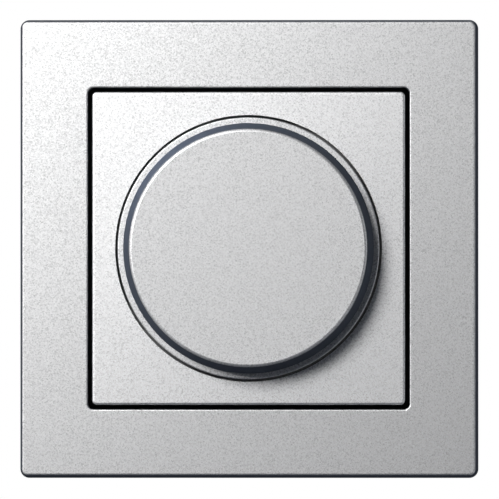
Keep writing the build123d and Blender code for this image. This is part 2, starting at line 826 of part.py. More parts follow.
# Potentiometer case: a cup open to the back, with a stop for the rotor's tooth below
pot_inside_r = pot_r - pot_wall
stop_r = pot_inside_r - stop_depth
tooth_half = degrees(atan2(rotor_tooth_w / 2, stop_r))
stop_half = 180 - turn_range / 2 - tooth_half - stop_clear
with BuildPart() as pot_case:
    with BuildSketch(front(pot_back)):
        Circle(pot_r)
    extrude(amount=pot_front - pot_back)
    with BuildSketch(front(pot_back)):
        Circle(pot_inside_r)
    extrude(amount=pot_inside - pot_back, mode=Mode.SUBTRACT)
    with BuildSketch(front(pot_inside)):
        Circle(spigot_r + thread_clear)
    extrude(amount=pot_wall, mode=Mode.SUBTRACT)
    with BuildSketch(front(rotor_back)):
        with BuildLine():
            CenterArc((0, 0), pot_inside_r + pot_wall / 2, 270 - stop_half, 2 * stop_half)
            CenterArc((0, 0), stop_r, 270 - stop_half, 2 * stop_half)
            for angle in (radians(270 - stop_half), radians(270 + stop_half)):
                stop_corner = (stop_r * cos(angle), stop_r * sin(angle))
                PolarLine(stop_corner, stop_depth + pot_wall / 2, degrees(angle))
        make_face()
    extrude(amount=rotor_t)
pot_case.part.label = "pot_case"
export_step(pot_case.part, "parts/pot_case.step")

# Resistance track: a laminate disc with three pins through the board
with BuildPart() as resistance_track:
    with BuildSketch(front(pot_back)):
        Circle(pot_inside_r - track_clear)
        Circle(track_hole_r, mode=Mode.SUBTRACT)
    extrude(amount=track_t)
    with BuildSketch(front(pot_back)):
        with Locations(*pot_pins):
            Circle(lead_r)
    extrude(amount=-board_t - lead_tail)
resistance_track.part.label = "resistance_track"
export_step(resistance_track.part, "parts/resistance_track.step")

# Wiper rotor: turned by the shaft's tongue, with two contact fingers and a stop tooth
rotor_tooth_r = pot_inside_r - rotor_gap
rotor_r = rotor_tooth_r - rotor_tooth
rotor_finger_place = rotor_r - rotor_finger_inset
with BuildPart() as wiper:
    with BuildSketch(front(rotor_back)):
        Circle(rotor_r)
        with Locations((0, rotor_tooth_r / 2)):
            Rectangle(rotor_tooth_w, rotor_tooth_r)
    extrude(amount=rotor_t)
    with BuildSketch(front(rotor_back)):
        with Locations((0, rotor_finger_place), (0, -rotor_finger_place)):
            Circle(rotor_finger_r)
    extrude(amount=-rotor_drop + finger_clear)
    with BuildSketch(front(rotor_back)):
        Circle(shaft_r + rotor_fit)
        Rectangle(2 * shaft_r + 1, shaft_tongue + 2 * rotor_fit, mode=Mode.INTERSECT)
    extrude(amount=rotor_t, mode=Mode.SUBTRACT)
wiper.part.label = "wiper"
export_step(wiper.part, "parts/wiper.step")

# Shaft: flat for the knob in front, groove for the clip, and a tongue through the rotor behind
with BuildPart() as shaft:
    with BuildSketch(front(shaft_end)):
        Circle(shaft_r)
        Rectangle(2 * shaft_r + 1, shaft_tongue, mode=Mode.INTERSECT)
    extrude(amount=clip_back - shaft_end)
    with BuildSketch(front(clip_back)):
        Circle(shaft_r - shaft_groove)
    extrude(amount=clip_front - clip_back)
    with BuildSketch(front(clip_front)):
        Circle(shaft_r)
    extrude(amount=hub_foot - clip_front)
    with BuildSketch(front(hub_foot)):
        Circle(shaft_r)
        with Locations((0, -shaft_flat)):
            Rectangle(2 * shaft_r + 1, 2 * shaft_r, mode=Mode.INTERSECT)
    extrude(amount=shaft_top - hub_foot)
shaft.part.label = "shaft"
export_step(shaft.part, "parts/shaft.step")

# Retaining clip in the shaft's groove, behind the bush
with BuildPart() as shaft_clip:
    with BuildSketch(front(clip_back + clip_clear)):
        Circle(clip_r)
        Circle(shaft_r - shaft_groove + clip_clear, mode=Mode.SUBTRACT)
        with Locations((0, -clip_r / 2)):
            Rectangle(clip_mouth, clip_r, mode=Mode.SUBTRACT)
    extrude(amount=clip_t - 2 * clip_clear)
shaft_clip.part.label = "shaft_clip"
export_step(shaft_clip.part, "parts/shaft_clip.step")

# Circuit board with its lead holes, screw boss notches and terminal slots
with BuildPart() as circuit_board:
    with BuildSketch(front(board_back)):
        insert_outline(casing_wall + board_gap)
        Circle(track_hole_r, mode=Mode.SUBTRACT)
        with Locations(*screw_places):
            Circle(case_boss_r + board_gap, mode=Mode.SUBTRACT)
        with Locations(*post_places):
            Circle(post_peg_r + post_peg_clear, mode=Mode.SUBTRACT)
        with Locations(*board_pins):
            Circle(lead_r + lead_clear, mode=Mode.SUBTRACT)
        with Locations(*[(x, tab_leg_z) for x in terminal_places]):
            Rectangle(tab_strip_w + 2 * lead_clear, tab_strip_t + 2 * lead_clear, mode=Mode.SUBTRACT)
    extrude(amount=board_t)
circuit_board.part.label = "circuit_board"
export_step(circuit_board.part, "parts/circuit_board.step")

# Switch case: a square cup on the back of the board
switch_inside = switch_side - 2 * switch_wall
bridge_length = switch_inside - 2 * bridge_gap
contact_place = bridge_length / 2 - contact_inset
contact_places = [(-contact_place, 0), (contact_place, 0)]
with BuildPart() as switch_case:
    with BuildSketch(front(switch_back)):
        Rectangle(switch_side, switch_side)
    extrude(amount=board_back - switch_back)
    with BuildSketch(front(switch_floor)):
        Rectangle(switch_inside, switch_inside)
    extrude(amount=board_back - switch_floor, mode=Mode.SUBTRACT)
    with BuildSketch(front(switch_back)):
        with Locations(*contact_places):
            Rectangle(contact_w + 2 * contact_clear, contact_depth + 2 * contact_clear)
    extrude(amount=switch_wall, mode=Mode.SUBTRACT)
switch_case.part.label = "switch_case"
export_step(switch_case.part, "parts/switch_case.step")

# Switch plunger: nose under the shaft, square guide in the case, boss inside the spring
guide_side = switch_inside - 2 * plunger_clear
with BuildPart() as switch_plunger:
    with BuildSketch(front(plunger_back)):
        Rectangle(guide_side, guide_side)
    extrude(amount=plunger_t)
    with BuildSketch(front(plunger_front)):
        Circle(plunger_nose_r)
    extrude(amount=shaft_end - plunger_front)
    with BuildSketch(front(plunger_back)):
        Circle(plunger_boss_r)
    extrude(amount=-plunger_boss)
switch_plunger.part.label = "switch_plunger"
export_step(switch_plunger.part, "parts/switch_plunger.step")

# Contact bridge that the spring holds against the plunger
with BuildPart() as contact_bridge:
    with BuildSketch(front(bridge_back)):
        Circle(bridge_r)
        Rectangle(bridge_length, bridge_w)
        Circle(plunger_boss_r + bridge_clear, mode=Mode.SUBTRACT)
    extrude(amount=bridge_t)
contact_bridge.part.label = "contact_bridge"
export_step(contact_bridge.part, "parts/contact_bridge.step")

# Fixed contacts through the floor of the switch case
with BuildPart() as switch_contacts:
    with BuildSketch(front(switch_back - lead_tail)):
        with Locations(*contact_places):
            Rectangle(contact_w, contact_depth)
    extrude(amount=bridge_back - push_travel - contact_clear - switch_back + lead_tail)
switch_contacts.part.label = "switch_contacts"
export_step(switch_contacts.part, "parts/switch_contacts.step")

# Return spring between the switch case's floor and the bridge
spring_r = contact_place - contact_w / 2 - spring_gap - spring_wire_r
spring_rise = spring_length - 2 * spring_wire_r
with BuildPart() as return_spring:
    with BuildLine() as spring_path:
        Helix(
            pitch=spring_rise / spring_turns,
            height=spring_rise,
            radius=spring_r,
            center=(0, -switch_floor - spring_wire_r, 0),
            direction=(0, -1, 0),
        )
    with BuildSketch(Plane(origin=spring_path.line @ 0, z_dir=spring_path.line % 0)):
        Circle(spring_wire_r)
    sweep(path=spring_path.line, is_frenet=True)
return_spring.part.label = "return_spring"
export_step(return_spring.part, "parts/return_spring.step")

# Insulating pad between the transistor and the heat sink
with BuildPart() as transistor_pad:
    with BuildSketch(front(transistor_front)):
        with Locations((transistor_x, 0)):
            Rectangle(transistor_w + 2 * pad_margin, transistor_length + 2 * pad_margin)
        with Locations((transistor_x, transistor_screw_z)):
            Circle(transistor_screw_r + screw_clear, mode=Mode.SUBTRACT)
    extrude(amount=pad_t)
transistor_pad.part.label = "transistor_pad"
export_step(transistor_pad.part, "parts/transistor_pad.step")

# Power transistor: metal tab, moulded body and three leads bent back into the board
body_length = transistor_length - transistor_tab_length
body_z = -transistor_length / 2 + body_length / 2
lead_front = transistor_front - transistor_t / 2
with BuildPart() as power_transistor:
    with BuildSketch(front(transistor_front)):
        with Locations((transistor_x, 0)):
            Rectangle(transistor_w, transistor_length)
        with Locations((transistor_x, transistor_screw_z)):
            Circle(transistor_screw_r + screw_clear, mode=Mode.SUBTRACT)
    extrude(amount=-transistor_tab_t)
    with BuildSketch(front(transistor_front - transistor_tab_t)):
        with Locations((transistor_x, body_z)):
            Rectangle(transistor_w, body_length)
    extrude(amount=transistor_tab_t - transistor_t)
    with BuildSketch(front(lead_front)):
        with Locations(*[(x, transistor_lead_z / 2 + body_z / 2) for x in transistor_columns]):
            Rectangle(transistor_lead_w, body_z - transistor_lead_z + transistor_lead_w / 2)
    extrude(amount=-transistor_lead_w / 2)
    with BuildSketch(front(lead_front)):
        with Locations(*transistor_pins):
            Circle(lead_r)
    extrude(amount=board_back - lead_tail - lead_front)
power_transistor.part.label = "power_transistor"
export_step(power_transistor.part, "parts/power_transistor.step")

# Transistor screw, head on the tab, threaded into the heat sink
transistor_tab_back = transistor_front - transistor_tab_t
with BuildPart() as transistor_screw:
    with BuildSketch(front(transistor_tab_back)):
        with Locations((transistor_x, transistor_screw_z)):
            Circle(transistor_head_r)
    extrude(amount=-transistor_head_t)
    with BuildSketch(front(transistor_tab_back)):
        with Locations((transistor_x, transistor_screw_z)):
            Circle(transistor_screw_r)
    extrude(amount=-transistor_tab_back)
transistor_screw.part.label = "transistor_screw"
export_step(transistor_screw.part, "parts/transistor_screw.step")

# Choke core: a ferrite ring in the middle of the winding
core_back = board_back - choke_wire - choke_core_t
with BuildPart() as choke_core:
    with BuildSketch(front(core_back)):
        with Locations((0, choke_z)):
            Circle(choke_core_r)
            Circle(choke_core_bore, mode=Mode.SUBTRACT)
    extrude(amount=choke_core_t)
choke_core.part.label = "choke_core"
export_step(choke_core.part, "parts/choke_core.step")

# Choke winding: the copper turns as one closed sleeve round the core, with two leads into the board
with BuildPart() as choke_winding:
    with BuildSketch(front(board_back)):
        with Locations((0, choke_z)):
            Circle(choke_core_r + choke_wire)
            Circle(choke_core_bore - choke_wire, mode=Mode.SUBTRACT)
    extrude(amount=-choke_core_t - 2 * choke_wire)
    with BuildSketch(front(core_back - choke_fit)):
        with Locations((0, choke_z)):
            Circle(choke_core_r + choke_fit)
            Circle(choke_core_bore - choke_fit, mode=Mode.SUBTRACT)
    extrude(amount=choke_core_t + 2 * choke_fit, mode=Mode.SUBTRACT)
    with BuildSketch(front(board_back)):
        with Locations(*choke_pins):
            Circle(lead_r)
    extrude(amount=board_t + lead_tail)
choke_winding.part.label = "choke_winding"
export_step(choke_winding.part, "parts/choke_winding.step")

# Film capacitor: a moulded box on the back of the board
with BuildPart() as film_capacitor:
    with BuildSketch(front(board_back)):
        with Locations((film_x, 0)):
            Rectangle(film_w, film_length)
    extrude(amount=-film_depth)
    fillet(film_capacitor.faces().sort_by(Axis.Y)[-1].edges(), film_edge)
    with BuildSketch(front(board_back)):
        with Locations(*film_pins):
            Circle(lead_r)
    extrude(amount=board_t + lead_tail)
film_capacitor.part.label = "film_capacitor"
export_step(film_capacitor.part, "parts/film_capacitor.step")

# Electrolytic capacitor: a sleeved can on the back of the board
with BuildPart() as electrolytic_capacitor:
    with BuildSketch(front(board_back)):
        with Locations((can_x, can_z)):
            Circle(can_r)
    extrude(amount=-can_depth)
    fillet(electrolytic_capacitor.faces().sort_by(Axis.Y)[-1].edges(), can_edge)
    with BuildSketch(front(board_back)):
        with Locations(*can_pins):
            Circle(lead_r)
    extrude(amount=board_t + lead_tail)
electrolytic_capacitor.part.label = "electrolytic_capacitor"
export_step(electrolytic_capacitor.part, "parts/electrolytic_capacitor.step")

# Resistors on the front of the board, one node
resistor_height = pot_back + resistor_r
with BuildPart() as resistors:
    with BuildSketch(Plane.YZ):
        with Locations(*[(-resistor_height, z) for z in resistor_rows]):
            Circle(resistor_r)
    extrude(amount=resistor_length / 2, both=True)
    with BuildSketch(Plane.YZ):
        with Locations(*[(-resistor_height, z) for z in resistor_rows]):
            Circle(lead_r)
    extrude(amount=resistor_reach + lead_r, both=True)
    with BuildSketch(front(resistor_height)):
        with Locations(*resistor_pins):
            Circle(lead_r)
    extrude(amount=board_back - lead_tail - resistor_height)
resistors.part.label = "resistors"
export_step(resistors.part, "parts/resistors.step")

# Fuse tube: glass, between its two caps
glass_r = fuse_r - fuse_cap_wall - fuse_fit
glass_half = fuse_length / 2 - fuse_cap_wall - fuse_fit
with BuildPart() as fuse_tube:
    with BuildSketch(Plane.XY):
        with Locations((fuse_x, -fuse_height)):
            Circle(glass_r)
            Circle(fuse_glass_bore, mode=Mode.SUBTRACT)
    extrude(amount=glass_half, both=True)
fuse_tube.part.label = "fuse_tube"
export_step(fuse_tube.part, "parts/fuse_tube.step")

# Fuse caps, one node
with BuildPart() as fuse_caps:
    with BuildSketch(Plane.XY.offset(fuse_length / 2)):
        with Locations((fuse_x, -fuse_height)):
            Circle(fuse_r)
    extrude(amount=-fuse_cap_length)
    with BuildSketch(Plane.XY.offset(fuse_length / 2 - fuse_cap_wall)):
        with Locations((fuse_x, -fuse_height)):
            Circle(fuse_r - fuse_cap_wall)
    extrude(amount=-fuse_cap_length, mode=Mode.SUBTRACT)
    mirror(about=Plane.XY)
fuse_caps.part.label = "fuse_caps"
export_step(fuse_caps.part, "parts/fuse_caps.step")

# Fuse clips: bent spring strips on the board that grip the caps, one node
clip_z = fuse_length / 2 - fuse_cap_length / 2
clip_half = fuse_r + fuse_fit
clip_places = [(fuse_x, -clip_z), (fuse_x, clip_z)]
with BuildPart() as fuse_clips:
    with BuildSketch(front(pot_back)):
        with Locations(*clip_places):
            Rectangle(2 * (clip_half + fuse_clip_t), fuse_clip_w)
    extrude(amount=fuse_clip_rise)
    with BuildSketch(front(pot_back + fuse_clip_t)):
        with Locations(*clip_places):
            Rectangle(2 * clip_half, fuse_clip_w)
    extrude(amount=fuse_clip_rise, mode=Mode.SUBTRACT)
fuse_clips.part.label = "fuse_clips"
export_step(fuse_clips.part, "parts/fuse_clips.step")

# Terminals: each has a screw held in the housing, a cage that rides on it and a fixed tab
for number, place in enumerate(terminal_places, start=1):
    with BuildPart() as terminal_cage:
        with BuildSketch(front(cage_back_height)):
            with Locations((place, terminal_z)):
                Rectangle(cage_w, cage_depth)
        extrude(amount=cage_front_height - cage_back_height)
        with BuildSketch(front(cage_back_inner)):
            with Locations((place, terminal_z)):
                Rectangle(cage_w - 2 * cage_side, cage_depth)
        extrude(amount=cage_front_height - cage_front - cage_back_inner, mode=Mode.SUBTRACT)
        with BuildSketch(front(cage_back_height)):
            with Locations((place, terminal_z)):
                Circle(terminal_screw_r + thread_clear)
        extrude(amount=cage_back, mode=Mode.SUBTRACT)
    terminal_cage.part.label = f"terminal_cage_{number}"
    export_step(terminal_cage.part, f"parts/terminal_cage_{number}.step")

    with BuildPart() as terminal_screw:
        with BuildSketch(front(terminal_seat)):
            with Locations((place, terminal_z)):
                Circle(terminal_head_r)
        extrude(amount=-terminal_head_t)
        fillet(terminal_screw.faces().sort_by(Axis.Y)[-1].edges(), head_edge)
        with BuildSketch(front(terminal_seat)):
            with Locations((place, terminal_z)):
                Circle(terminal_screw_r)
        extrude(amount=terminal_tip - terminal_seat)
        with BuildSketch(front(terminal_seat - terminal_head_t)):
            with Locations((place, terminal_z)):
                Rectangle(2 * terminal_head_r, slot_w)
        extrude(amount=terminal_head_t / 2, mode=Mode.SUBTRACT)
    terminal_screw.part.label = f"terminal_screw_{number}"
    export_step(terminal_screw.part, f"parts/terminal_screw_{number}.step")

    with BuildPart() as terminal_tab:
        with BuildSketch(front(tab_back)):
            with Locations((place, (terminal_z - cage_depth / 2 + tab_leg_z + tab_strip_t / 2) / 2)):
                Rectangle(tab_strip_w, tab_leg_z + tab_strip_t / 2 - terminal_z + cage_depth / 2)
        extrude(amount=tab_strip_t)
        with BuildSketch(front(tab_back)):
            with Locations((place, tab_leg_z)):
                Rectangle(tab_strip_w, tab_strip_t)
        extrude(amount=pot_back + lead_tail - tab_back)
    terminal_tab.part.label = f"terminal_tab_{number}"
    export_step(terminal_tab.part, f"parts/terminal_tab_{number}.step")
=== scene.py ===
import math

import bmesh
import bpy
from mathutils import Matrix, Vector


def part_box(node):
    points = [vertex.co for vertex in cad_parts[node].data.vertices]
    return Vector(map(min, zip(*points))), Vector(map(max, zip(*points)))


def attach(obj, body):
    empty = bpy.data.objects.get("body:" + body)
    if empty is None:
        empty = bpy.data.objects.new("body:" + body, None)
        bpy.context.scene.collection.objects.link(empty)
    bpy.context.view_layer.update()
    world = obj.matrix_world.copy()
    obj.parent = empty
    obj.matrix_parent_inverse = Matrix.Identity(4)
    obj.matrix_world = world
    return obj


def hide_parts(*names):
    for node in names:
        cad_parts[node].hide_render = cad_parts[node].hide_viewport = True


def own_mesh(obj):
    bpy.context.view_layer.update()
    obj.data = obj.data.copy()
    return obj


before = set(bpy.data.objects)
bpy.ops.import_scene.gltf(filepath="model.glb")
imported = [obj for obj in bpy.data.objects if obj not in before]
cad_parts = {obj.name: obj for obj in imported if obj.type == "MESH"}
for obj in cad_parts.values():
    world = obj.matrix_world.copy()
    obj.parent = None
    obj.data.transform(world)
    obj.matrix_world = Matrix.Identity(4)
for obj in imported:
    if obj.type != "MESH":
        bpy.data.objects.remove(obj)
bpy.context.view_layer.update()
bpy.ops.object.select_all(action="DESELECT")


# Housing of the insert: a deep cup of white urea resin, pressed in one shot with its bosses and chambers.
# The mould is spark eroded, so the skin is a fine even grain over faint flow clouds.
# Two screws from the front draw it against the heat sink and the support ring.
COLOUR, VALUE = "NodeSocketColor", "NodeSocketFloat"


def effect(name, takes, gives):
    """An empty shader node group with its named sockets."""
    tree = bpy.data.node_groups.new(name, "ShaderNodeTree")
    for label, kind, value in takes:
        tree.interface.new_socket(label, in_out="INPUT", socket_type=kind).default_value = value
    for label, kind in gives:
        tree.interface.new_socket(label, in_out="OUTPUT", socket_type=kind)
    return tree, tree.nodes.new("NodeGroupInput").outputs, tree.nodes.new("NodeGroupOutput").inputs


def fit(tree, kind, sockets=None, **settings):
    """A node in a tree, its settings made, and its inputs wired to outputs or set to plain values."""
    node = tree.nodes.new(kind)
    for key, value in settings.items():
        setattr(node, key, value)
    for key, value in (sockets or {}).items():
        if isinstance(value, bpy.types.NodeSocket):
            tree.links.new(value, node.inputs[key])
        else:
            node.inputs[key].default_value = value
    return node


def reckon(tree, operation, first, second=0.0):
    """The result of one or two values."""
    return fit(tree, "ShaderNodeMath", {0: first, 1: second}, operation=operation).outputs[0]


def span(tree, value, low, high, start=0.0, end=1.0):
    """A value stretched from one range to another."""
    return fit(tree, "ShaderNodeMapRange", {
        "Value": value, "From Min": low, "From Max": high, "To Min": start, "To Max": end}).outputs["Result"]


def tint(tree, share, first, second):
    """A colour between two others."""
    return fit(tree, "ShaderNodeMix", {0: share, 6: first, 7: second}, data_type="RGBA").outputs[2]


def place_on(tree):
    """Where a point lies on the object."""
    return fit(tree, "ShaderNodeTexCoord").outputs["Object"]


def grain(tree, place, scale, detail=3.0, distortion=0.0):
    """A cloudy value over the surface."""
    return fit(tree, "ShaderNodeTexNoise", {
        "Vector": place, "Scale": scale, "Detail": detail, "Distortion": distortion}).outputs["Fac"]


skin, takes, gives = effect("moulded_skin", [
    ("Resin", COLOUR, (0.8, 0.8, 0.8, 1)), ("Cloud", COLOUR, (0.7, 0.7, 0.7, 1)),
    ("Grain", VALUE, 1800.0), ("Gloss", VALUE, 0.45)],
    [("Color", COLOUR), ("Roughness", VALUE), ("Height", VALUE)])
place = place_on(skin)
pores = grain(skin, place, takes["Grain"])
flow = grain(skin, place, scale=70.0, detail=5.0, distortion=0.8)
skin.links.new(tint(skin, span(skin, flow, 0.35, 0.7), takes["Resin"], takes["Cloud"]), gives["Color"])
uneven = span(skin, pores, 0.3, 0.7, -0.06, 0.08)
skin.links.new(reckon(skin, "ADD", uneven, takes["Gloss"]), gives["Roughness"])
skin.links.new(pores, gives["Height"])


def coat(name, group, values, depth, plain=None):
    """A material with colour, gloss, metal and relief from an effect, and plain values for the rest."""
    material = bpy.data.materials.new(name)
    material.use_nodes = True
    tree = material.node_tree
    shader = tree.nodes["Principled BSDF"]
    source = fit(tree, "ShaderNodeGroup", node_tree=group)
    for key, value in values.items():
        source.inputs[key].default_value = value
    tree.links.new(source.outputs["Color"], shader.inputs["Base Color"])
    tree.links.new(source.outputs["Roughness"], shader.inputs["Roughness"])
    if "Metallic" in source.outputs:
        tree.links.new(source.outputs["Metallic"], shader.inputs["Metallic"])
    relief = fit(tree, "ShaderNodeBump", {"Height": source.outputs["Height"], "Distance": depth})
    tree.links.new(relief.outputs["Normal"], shader.inputs["Normal"])
    for key, value in (plain or {}).items():
        shader.inputs[key].default_value = value
    return material


def cover(piece, material):
    """Gives a piece one finish all over."""
    piece.data.materials.clear()
    piece.data.materials.append(material)


def dress(material, *names):
    """Puts a finish on CAD pieces."""
    for name in names:
        cover(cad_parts[name], material)


white_resin = coat("white_resin", skin, {
    "Resin": (0.78, 0.77, 0.73, 1), "Cloud": (0.72, 0.71, 0.67, 1), "Grain": 2200.0, "Gloss": 0.42},
    depth=0.00004)
dress(white_resin, "housing")


# Terminals: a plated screw in a well of the housing draws a folded steel cage against a brass tab.
# Screws are cold headed with a milled slot, then rolled, so the thread stands on a thinner core.
# The tab is stamped from brass strip and stands with its leg in the circuit board.
plating, takes, gives = effect("plated_metal", [
    ("Metal", COLOUR, (0.7, 0.7, 0.7, 1)), ("Film", COLOUR, (0.6, 0.6, 0.6, 1)),
    ("Cloud", VALUE, 350.0), ("Drawn", VALUE, 900.0), ("Gloss", VALUE, 0.34)],
    [("Color", COLOUR), ("Roughness", VALUE), ("Height", VALUE)])
place = place_on(plating)
film = grain(plating, place, takes["Cloud"], detail=4.0, distortion=0.6)
along = fit(plating, "ShaderNodeMapping", {"Vector": place, "Scale": (0.06, 1.0, 1.0)}).outputs["Vector"]
drawn = grain(plating, along, takes["Drawn"])
patchy = tint(plating, span(plating, film, 0.35, 0.7), takes["Metal"], takes["Film"])
plating.links.new(patchy, gives["Color"])
cloudy = reckon(plating, "ADD", span(plating, film, 0.3, 0.7, -0.05, 0.1), takes["Gloss"])
streaky = reckon(plating, "ADD", cloudy, span(plating, drawn, 0.3, 0.7, -0.06, 0.06))
plating.links.new(streaky, gives["Roughness"])
plating.links.new(drawn, gives["Height"])
METAL = {"Metallic": 1.0}
zinc = coat("zinc_plate", plating, {
    "Metal": (0.72, 0.73, 0.74, 1), "Film": (0.62, 0.65, 0.68, 1), "Gloss": 0.44},
    depth=0.000006, plain={"Metallic": 0.8})
brass = coat("brass_strip", plating, {
    "Metal": (0.80, 0.62, 0.30, 1), "Film": (0.70, 0.50, 0.22, 1), "Gloss": 0.28},
    depth=0.00002, plain=METAL)


def pick(piece, test):
    """Selects a piece's points by their place, in edit mode."""
    bpy.ops.mesh.select_all(action="DESELECT")
    mesh = bmesh.from_edit_mesh(piece.data)
    for point in mesh.verts:
        point.select_set(test(point.co))
    mesh.select_flush_mode()
    bmesh.update_edit_mesh(piece.data)


def turned(radius, length, at, way, edge):
    """A rod along Y from its foot, with the edge of its far end broken; way is +1 or -1."""
    middle = (at[0], at[1] + way * length / 2, at[2])
    bpy.ops.mesh.primitive_cylinder_add(
        vertices=48, radius=radius, depth=length, location=middle, rotation=(-way * math.pi / 2, 0, 0))
    rod = bpy.context.object
    bpy.ops.object.mode_set(mode="EDIT")
    pick(rod, lambda co: co.z > 0.49 * length)
    bpy.ops.mesh.bevel(offset=edge, segments=3, affect="EDGES")
    bpy.ops.object.mode_set(mode="OBJECT")
    return rod


def mill(piece, size, at):
    """Cuts a straight slot into a piece."""
    bpy.ops.mesh.primitive_cube_add(size=1.0, location=at, scale=size)
    cutter = bpy.context.object
    piece.modifiers.new("slot", "BOOLEAN").object = cutter
    bpy.context.view_layer.objects.active = piece
    bpy.ops.object.modifier_apply(modifier="slot")
    bpy.data.objects.remove(cutter)


def wind(outline, axis, pitch, turns, steps, sides):
    """Winds a closed outline of so many sides along an axis, and closes both ends."""
    winding = outline.modifiers.new("winding", "SCREW")
    winding.axis = axis
    winding.screw_offset = pitch
    winding.iterations = turns
    winding.steps = steps
    winding.render_steps = steps
    bpy.ops.object.modifier_apply(modifier="winding")
    bpy.ops.object.mode_set(mode="EDIT")
    bpy.ops.mesh.select_all(action="SELECT")
    bpy.ops.mesh.fill_holes(sides=sides)
    bpy.ops.mesh.normals_make_consistent(inside=False)
    bpy.ops.object.mode_set(mode="OBJECT")


def rolled_thread(radius, pitch, length, foot):
    """A right-hand ridge that winds up Y on a thinner core, with its root sunk in the core."""
    depth = 0.55 * pitch
    tall, root_width, crest_share = 1.3 * depth, 0.8 * pitch, 0.2
    bpy.ops.mesh.primitive_plane_add(size=1.0)
    ridge = bpy.context.object
    bpy.ops.object.mode_set(mode="EDIT")
    bpy.ops.transform.resize(value=(tall, root_width, 1))
    bpy.ops.transform.translate(value=(radius - tall / 2, 0, 0))
    pick(ridge, lambda co: co.x > radius - tall / 2)
    bpy.ops.transform.resize(value=(1, crest_share, 1))
    bpy.ops.mesh.select_all(action="SELECT")
    bpy.ops.mesh.delete(type="ONLY_FACE")
    bpy.ops.object.mode_set(mode="OBJECT")
    wind(ridge, "Y", pitch, turns=int(length / pitch) - 1, steps=20, sides=4)
    ridge.location = (0, foot + 0.6 * pitch, 0)
    return ridge


def unite(name, *pieces):
    """Joins shells into one piece whose place is in its mesh."""
    bpy.ops.object.select_all(action="DESELECT")
    for piece in pieces:
        piece.select_set(True)
    bpy.context.view_layer.objects.active = pieces[0]
    bpy.ops.object.join()
    bpy.ops.object.transform_apply(location=True, rotation=True, scale=True)
    bpy.ops.object.shade_smooth_by_angle(angle=math.radians(35))
    whole = bpy.context.object
    whole.name = name
    whole.data.name = name
    return whole


HEAD_R, CORE_R, THREAD_R, THREAD_PITCH = 0.0026, 0.00125, 0.0015, 0.0005
TIP_EDGE, OVERLAP = 0.0004, 0.0002


def rolled_screw(head_end, head_foot, tip, head_edge, cuts, threaded):
    """A plated screw on the Y axis from three places along it, with its cuts milled into the head."""
    way = 1 if head_end > tip else -1
    cap = turned(HEAD_R, abs(head_end - head_foot), (0, head_foot, 0), way, head_edge)
    for cut in cuts:
        mill(cap, cut, (0, head_end, 0))
    core = turned(CORE_R, abs(head_foot - tip) + OVERLAP, (0, head_foot + way * OVERLAP, 0), -way, TIP_EDGE)
    ridge = rolled_thread(THREAD_R, THREAD_PITCH, threaded, min(head_foot, tip))
    screw = unite("screw_pattern", cap, core, ridge)
    cover(screw, zinc)
    return screw


def twin(piece):
    """A copy of a piece with a mesh of its own."""
    copy = piece.copy()
    copy.data = piece.data.copy()
    bpy.context.scene.collection.objects.link(copy)
    return copy


def set_out(pattern, name, node):
    """A copy of a screw on the axis of the CAD screw that it stands for."""
    low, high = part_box(node)
    screw = twin(pattern)
    screw.location = ((low[0] + high[0]) / 2, 0, (low[2] + high[2]) / 2)
    return unite(name, screw)


TERMINAL_HEAD_END, TERMINAL_HEAD_FOOT, TERMINAL_TIP = 0.0256, 0.0241, 0.0174
TERMINAL_HEAD_EDGE, TERMINAL_SLOT = 0.0003, (0.006, 0.0016, 0.0007)
pattern = rolled_screw(
    TERMINAL_HEAD_END, TERMINAL_HEAD_FOOT, TERMINAL_TIP, TERMINAL_HEAD_EDGE, [TERMINAL_SLOT],
    threaded=TERMINAL_HEAD_FOOT - TERMINAL_TIP)
for number in (1, 2, 3):
    node = f"terminal_screw_{number}"
    screw = set_out(pattern, f"terminal_screw_thread_{number}", node)
    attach(screw, node)
    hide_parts(node)
    dress(zinc, f"terminal_cage_{number}")
    dress(brass, f"terminal_tab_{number}")
bpy.data.objects.remove(pattern)


# Circuit board: glass laminate under a green mask, with copper tracks that show as a lighter relief.
# It hangs on posts of the housing, and every part's leads are soldered through it.
mask, takes, gives = effect("masked_tracks", [
    ("Mask", COLOUR, (0.02, 0.16, 0.06, 1)), ("Track", COLOUR, (0.07, 0.33, 0.12, 1)),
    ("Cloth", COLOUR, (0.015, 0.10, 0.04, 1))],
    [("Color", COLOUR), ("Roughness", VALUE), ("Height", VALUE)])
place = place_on(mask)
cells = fit(mask, "ShaderNodeTexVoronoi", {"Vector": place, "Scale": 320.0}, feature="DISTANCE_TO_EDGE")
track = span(mask, cells.outputs["Distance"], 0.10, 0.13, 1.0, 0.0)
cloth = grain(mask, place, scale=2600.0, detail=2.0)
under = tint(mask, track, takes["Mask"], takes["Track"])
woven = tint(mask, span(mask, cloth, 0.4, 0.7, 0.0, 0.3), under, takes["Cloth"])
mask.links.new(woven, gives["Color"])
mask.links.new(span(mask, cloth, 0.3, 0.7, 0.25, 0.4), gives["Roughness"])
mask.links.new(track, gives["Height"])
dress(coat("board_mask", mask, {}, depth=0.00004), "circuit_board")


